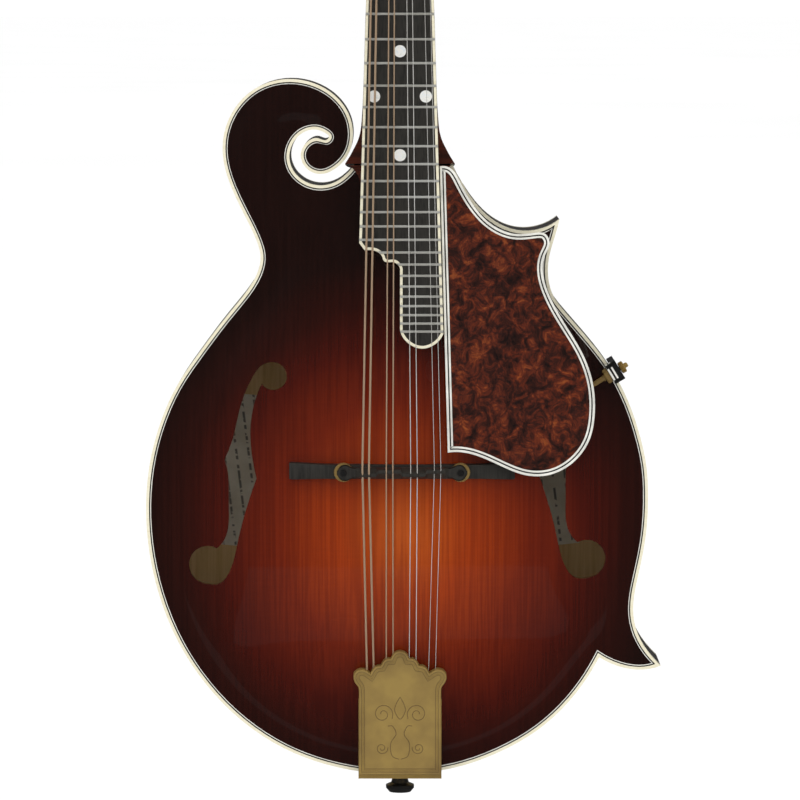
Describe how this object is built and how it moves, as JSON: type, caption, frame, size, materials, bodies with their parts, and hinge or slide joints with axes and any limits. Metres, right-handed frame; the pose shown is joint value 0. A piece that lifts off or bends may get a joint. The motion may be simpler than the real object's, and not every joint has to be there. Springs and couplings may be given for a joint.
{
  "type": "mandolin",
  "caption": "Carved-top stringed instrument with a scroll and two pointed corners on the body, sound holes, paired strings, movable bridge, geared tuners, string cover and finger rest.",
  "frame": {"origin": "middle of the nut line, on the plane of the fingerboard's face, where the instrument hangs in a wall hanger's fork", "axes": "+Z along the body up toward the headstock, +X across the body toward the treble strings, +Y from the front to the back; the body's rims stand in X-Z planes and the neck leans back 6 degrees"},
  "size_m": [0.2553, 0.1102, 0.6667],
  "materials": {
    "spruce": "carved spruce, vertical grain, dark sunburst lacquer, gloss",
    "maple": "figured maple, dark brown lacquer, gloss",
    "inside_wood": "bare mahogany and spruce, unfinished",
    "ivoroid": "aged ivory celluloid, gloss",
    "black_white_line": "thin black and white celluloid lines",
    "ebony": "ebony, satin",
    "bone": "polished bone",
    "fret_wire": "nickel silver, polished by use",
    "pearl": "mother of pearl, gloss",
    "gold_plate": "gold plated, satin and a little worn",
    "plated_steel": "gold plated steel, satin",
    "bronze_wire": "phosphor bronze winding",
    "steel_wire": "plain tinned steel wire",
    "tortoise": "dark red brown tortoise pattern, gloss with fine scratches",
    "dark_plastic": "black, gloss",
    "black_veneer": "black lacquered veneer, gloss"
  },
  "bodies": {
    "instrument": {"back_binding": "ivoroid", "back_plate": "maple", "bridge_base": "ebony", "bridge_studs": "gold_plate", "cover_screws": "plated_steel", "end_pin": "dark_plastic", "fretboard": "ebony", "fretboard_binding": "ivoroid", "frets": "fret_wire", "head_block": "maple", "headstock_binding": "ivoroid", "headstock_veneer": "black_veneer", "heel_cap": "ebony", "linings": "inside_wood", "neck": "maple", "neck_riser": "maple", "nut": "bone", "pickguard": "tortoise", "pickguard_binding": "ivoroid", "pickguard_clamp": "tortoise", "pickguard_rod": "gold_plate", "point_blocks": "inside_wood", "position_dots": "pearl", "rib_bass": "maple", "rib_tail_treble": "maple", "rib_upper_treble": "maple", "rib_waist": "maple", "soundboard": "spruce", "strings_plain": "steel_wire", "strings_wound": "bronze_wire", "tail_block": "inside_wood", "tailpiece_base": "gold_plate", "tailpiece_screws": "plated_steel", "tone_bars": "inside_wood", "top_binding": "ivoroid", "top_purfling": "black_white_line", "truss_rod": "plated_steel", "truss_rod_cover": "dark_plastic", "tuner_ferrules": "gold_plate", "tuner_plates": "gold_plate"},
    "saddle": {"bridge_saddle": "ebony"},
    "bass_wheel": {"thumbwheel_bass": "gold_plate"},
    "treble_wheel": {"thumbwheel_treble": "gold_plate"},
    "string_cover": {"tailpiece_cover": "gold_plate"},
    "key_1": {"tuner_key_1": "plated_steel"},
    "post_1": {"tuner_post_1": "plated_steel"},
    "key_2": {"tuner_key_2": "plated_steel"},
    "post_2": {"tuner_post_2": "plated_steel"},
    "key_3": {"tuner_key_3": "plated_steel"},
    "post_3": {"tuner_post_3": "plated_steel"},
    "key_4": {"tuner_key_4": "plated_steel"},
    "post_4": {"tuner_post_4": "plated_steel"},
    "key_5": {"tuner_key_5": "plated_steel"},
    "post_5": {"tuner_post_5": "plated_steel"},
    "key_6": {"tuner_key_6": "plated_steel"},
    "post_6": {"tuner_post_6": "plated_steel"},
    "key_7": {"tuner_key_7": "plated_steel"},
    "post_7": {"tuner_post_7": "plated_steel"},
    "key_8": {"tuner_key_8": "plated_steel"},
    "post_8": {"tuner_post_8": "plated_steel"}
  },
  "joints": [
    {"name": "key_turn_1", "type": "hinge", "parent": "instrument", "child": "key_1", "pos_m": [-0.0195, 0.02709, 0.01801], "axis": [1, 0, 0], "continuous": true},
    {"name": "post_turn_1", "type": "hinge", "parent": "instrument", "child": "post_1", "pos_m": [-0.0195, 0.01372, 0.03245], "axis": [0, 0.9397, -0.342], "continuous": true},
    {"name": "key_turn_2", "type": "hinge", "parent": "instrument", "child": "key_2", "pos_m": [-0.0195, 0.03496, 0.03962], "axis": [1, 0, 0], "continuous": true},
    {"name": "post_turn_2", "type": "hinge", "parent": "instrument", "child": "post_2", "pos_m": [-0.0195, 0.02159, 0.05407], "axis": [0, 0.9397, -0.342], "continuous": true},
    {"name": "key_turn_3", "type": "hinge", "parent": "instrument", "child": "key_3", "pos_m": [-0.0195, 0.04282, 0.06123], "axis": [1, 0, 0], "continuous": true},
    {"name": "post_turn_3", "type": "hinge", "parent": "instrument", "child": "post_3", "pos_m": [-0.0195, 0.02946, 0.07568], "axis": [0, 0.9397, -0.342], "continuous": true},
    {"name": "key_turn_4", "type": "hinge", "parent": "instrument", "child": "key_4", "pos_m": [-0.0195, 0.05069, 0.08285], "axis": [1, 0, 0], "continuous": true},
    {"name": "post_turn_4", "type": "hinge", "parent": "instrument", "child": "post_4", "pos_m": [-0.0195, 0.03732, 0.09729], "axis": [0, 0.9397, -0.342], "continuous": true},
    {"name": "key_turn_5", "type": "hinge", "parent": "instrument", "child": "key_5", "pos_m": [0.0195, 0.02709, 0.01801], "axis": [1, 0, 0], "continuous": true},
    {"name": "post_turn_5", "type": "hinge", "parent": "instrument", "child": "post_5", "pos_m": [0.0195, 0.01372, 0.03245], "axis": [0, 0.9397, -0.342], "continuous": true},
    {"name": "key_turn_6", "type": "hinge", "parent": "instrument", "child": "key_6", "pos_m": [0.0195, 0.03496, 0.03962], "axis": [1, 0, 0], "continuous": true},
    {"name": "post_turn_6", "type": "hinge", "parent": "instrument", "child": "post_6", "pos_m": [0.0195, 0.02159, 0.05407], "axis": [0, 0.9397, -0.342], "continuous": true},
    {"name": "key_turn_7", "type": "hinge", "parent": "instrument", "child": "key_7", "pos_m": [0.0195, 0.04282, 0.06123], "axis": [1, 0, 0], "continuous": true},
    {"name": "post_turn_7", "type": "hinge", "parent": "instrument", "child": "post_7", "pos_m": [0.0195, 0.02946, 0.07568], "axis": [0, 0.9397, -0.342], "continuous": true},
    {"name": "key_turn_8", "type": "hinge", "parent": "instrument", "child": "key_8", "pos_m": [0.0195, 0.05069, 0.08285], "axis": [1, 0, 0], "continuous": true},
    {"name": "post_turn_8", "type": "hinge", "parent": "instrument", "child": "post_8", "pos_m": [0.0195, 0.03732, 0.09729], "axis": [0, 0.9397, -0.342], "continuous": true},
    {"name": "saddle_height", "type": "slide", "parent": "instrument", "child": "saddle", "axis": [0, -1, 0], "range_m": [-0.00079, 0]},
    {"name": "bass_wheel_turn", "type": "hinge", "parent": "saddle", "child": "bass_wheel", "pos_m": [-0.0277, -0.0329, -0.3538], "axis": [0, -1, 0], "range_deg": [-576, 0]},
    {"name": "treble_wheel_turn", "type": "hinge", "parent": "saddle", "child": "treble_wheel", "pos_m": [0.0297, -0.0329, -0.3538], "axis": [0, -1, 0], "range_deg": [-576, 0]},
    {"name": "cover_lift", "type": "slide", "parent": "instrument", "child": "string_cover", "axis": [0, -1, 0], "range_m": [0, 0.035]}
  ],
  "couplings": [
    {"joint": "post_turn_1", "follows": "key_turn_1", "ratio": 0.0625},
    {"joint": "post_turn_2", "follows": "key_turn_2", "ratio": 0.0625},
    {"joint": "post_turn_3", "follows": "key_turn_3", "ratio": 0.0625},
    {"joint": "post_turn_4", "follows": "key_turn_4", "ratio": 0.0625},
    {"joint": "post_turn_5", "follows": "key_turn_5", "ratio": 0.0625},
    {"joint": "post_turn_6", "follows": "key_turn_6", "ratio": 0.0625},
    {"joint": "post_turn_7", "follows": "key_turn_7", "ratio": 0.0625},
    {"joint": "post_turn_8", "follows": "key_turn_8", "ratio": 0.0625},
    {"joint": "bass_wheel_turn", "follows": "saddle_height", "rad_per_m": 12566},
    {"joint": "treble_wheel_turn", "follows": "saddle_height", "rad_per_m": 12566}
  ]
}
